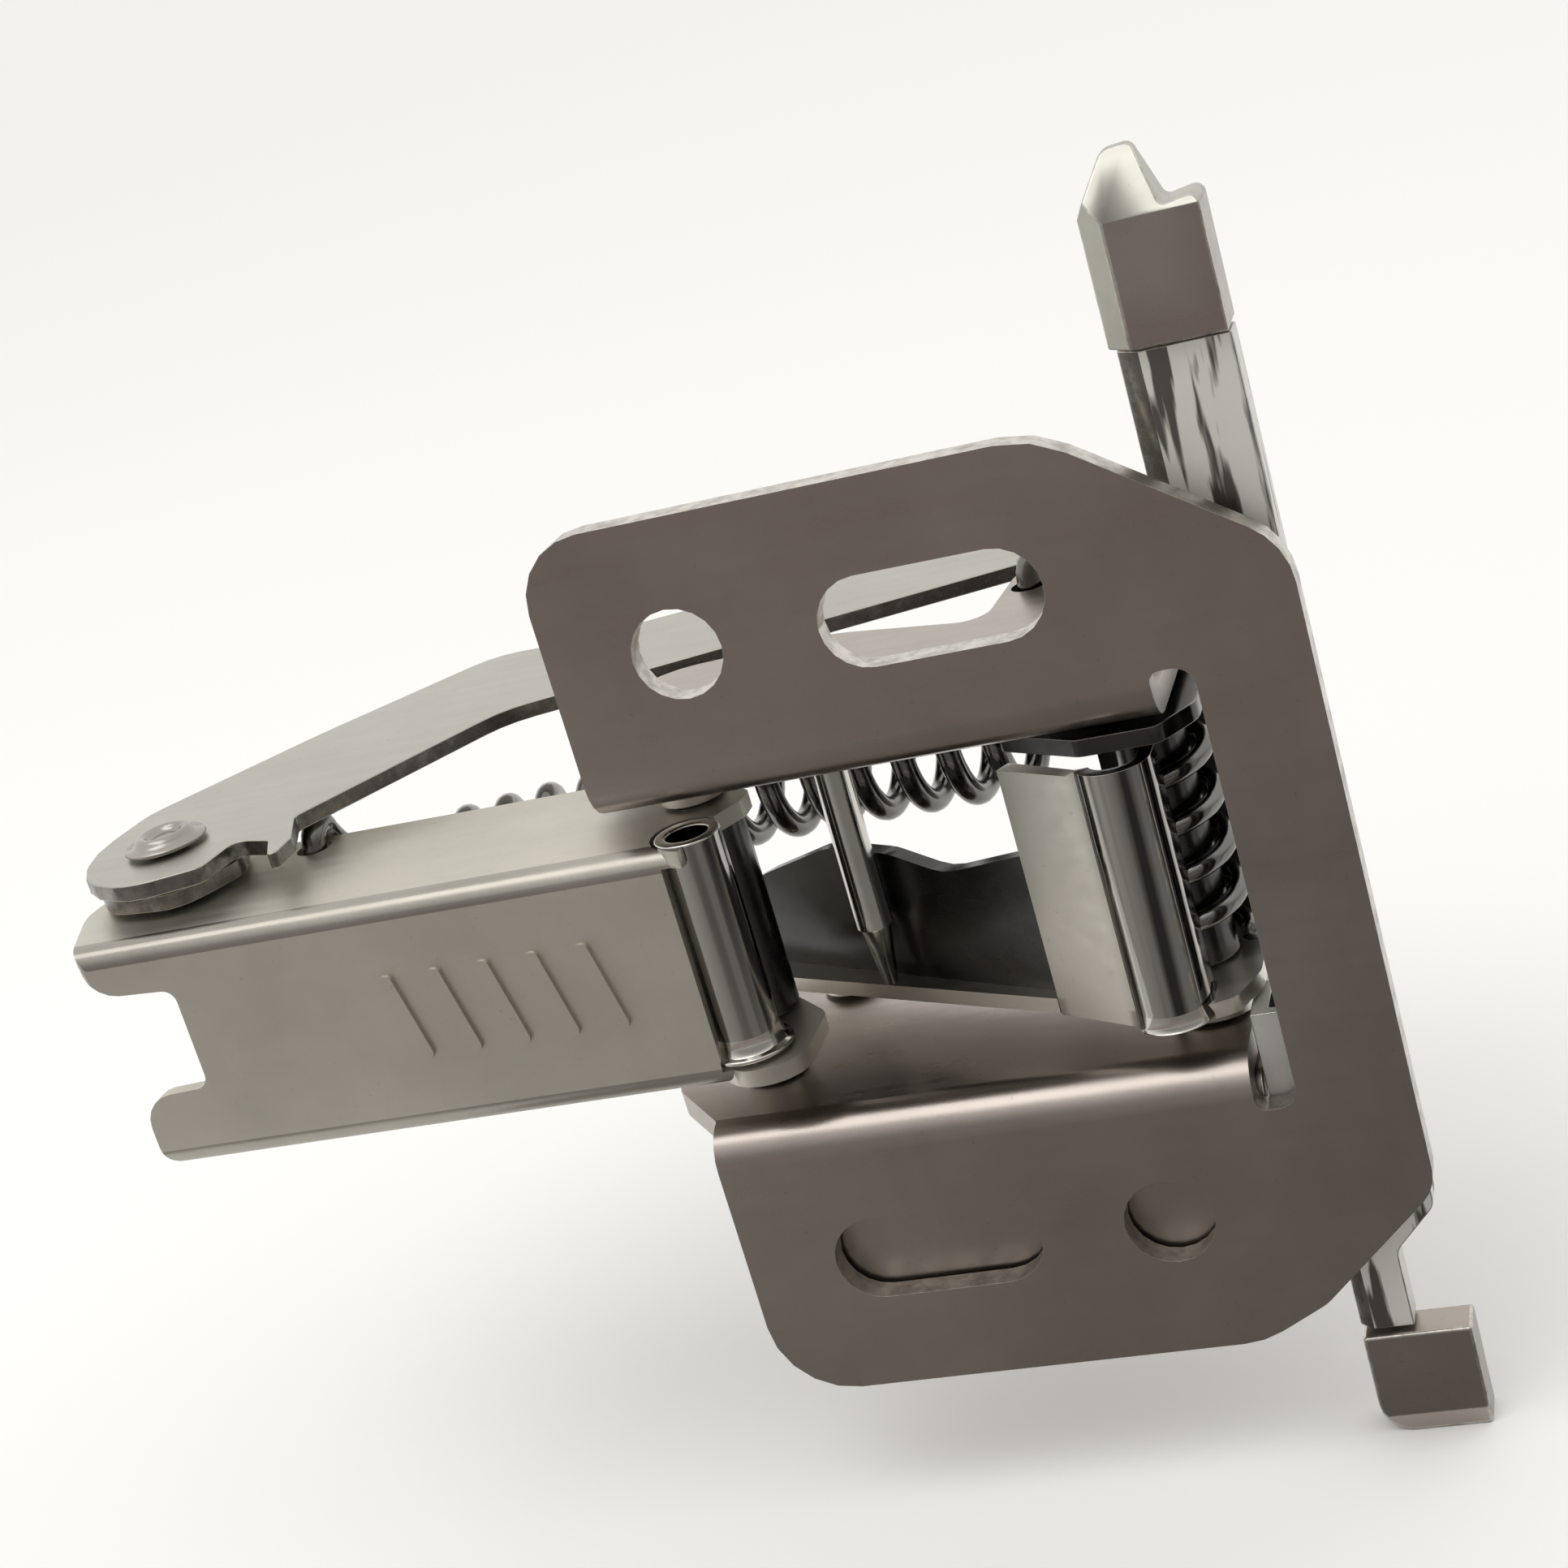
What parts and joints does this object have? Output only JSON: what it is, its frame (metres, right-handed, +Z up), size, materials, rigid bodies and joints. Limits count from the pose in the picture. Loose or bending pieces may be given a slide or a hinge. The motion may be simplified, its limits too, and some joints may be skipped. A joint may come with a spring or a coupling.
{
  "type": "sprung lever latch on a slotted mounting plate",
  "caption": "Slotted sheet-steel plate with two walls carrying a forked, sprung lever, a long cranked link to a bladed cam, and a slide bolt beside them.",
  "frame": {"origin": "a point on the plate's front face, in the middle of the spine and midway between the two walls", "axes": "-Y is the way the plate's front faces; +Z runs up the plate along the slide bolt's travel and both hinge pins; +X is towards the bolt's side"},
  "size_m": [0.075, 0.0422, 0.0726],
  "materials": {
    "nickel_plate": "dull nickel plate, warm dark grey",
    "nickel_lever": "satin nickel plate, tan grey",
    "nickel_light": "satin nickel plate, light grey",
    "bright_steel": "polished nickel",
    "spring_steel": "plated spring wire",
    "dark_steel": "dark, smooth steel"
  },
  "bodies": {
    "frame": {"front_plate": "nickel_plate", "backing_plate": "nickel_plate", "backing_rivet_left": "nickel_light", "backing_rivet_right": "nickel_light", "lever_pin": "bright_steel", "lever_spacer_lower": "nickel_light", "lever_spacer_upper": "nickel_light", "lever_sleeve": "dark_steel", "cam_pin": "bright_steel", "cam_spacer": "nickel_light", "bolt_guide_upper": "nickel_light", "bolt_guide_lower": "nickel_light"},
    "lever": {"lever_channel": "nickel_lever", "lever_knuckle": "bright_steel", "link_rivet_front": "nickel_light", "tension_spring": "spring_steel"},
    "link": {"link_arm": "nickel_light", "link_leaf": "nickel_light"},
    "cam": {"cam_base": "dark_steel", "cam_stud": "bright_steel", "cam_nose": "nickel_light", "cam_sleeve": "bright_steel", "cam_crank": "dark_steel", "cam_spring": "spring_steel", "link_rivet_rear": "nickel_light"},
    "bolt": {"bolt_head": "nickel_plate", "bolt_bar": "bright_steel", "bolt_foot": "nickel_plate"}
  },
  "joints": [
    {"name": "lever_hinge", "type": "hinge", "parent": "frame", "child": "lever", "pos_m": [-0.0334, 0.0075, 0], "axis": [0, 0, 1], "range_deg": [-12, 7], "stiffness_Nm_per_rad": 0.05, "deforming": ["tension_spring"]},
    {"name": "link_pivot", "type": "hinge", "parent": "lever", "child": "link", "pos_m": [-0.0667, 0.0084, 0.0097], "axis": [0, 0, 1], "range_deg": [-3.1, 5.5]},
    {"name": "cam_hinge", "type": "hinge", "parent": "frame", "child": "cam", "pos_m": [-0.0075, 0.0075, 0], "axis": [0, 0, 1], "range_deg": [-7.9, 4.6]},
    {"name": "bolt_slide", "type": "slide", "parent": "frame", "child": "bolt", "axis": [0, 0, 1], "range_m": [-0.006, 0.002]}
  ],
  "couplings": [
    {"joint": "cam_hinge", "follows": "lever_hinge", "ratio": 0.64},
    {"joint": "link_pivot", "follows": "lever_hinge", "ratio": -0.44}
  ]
}
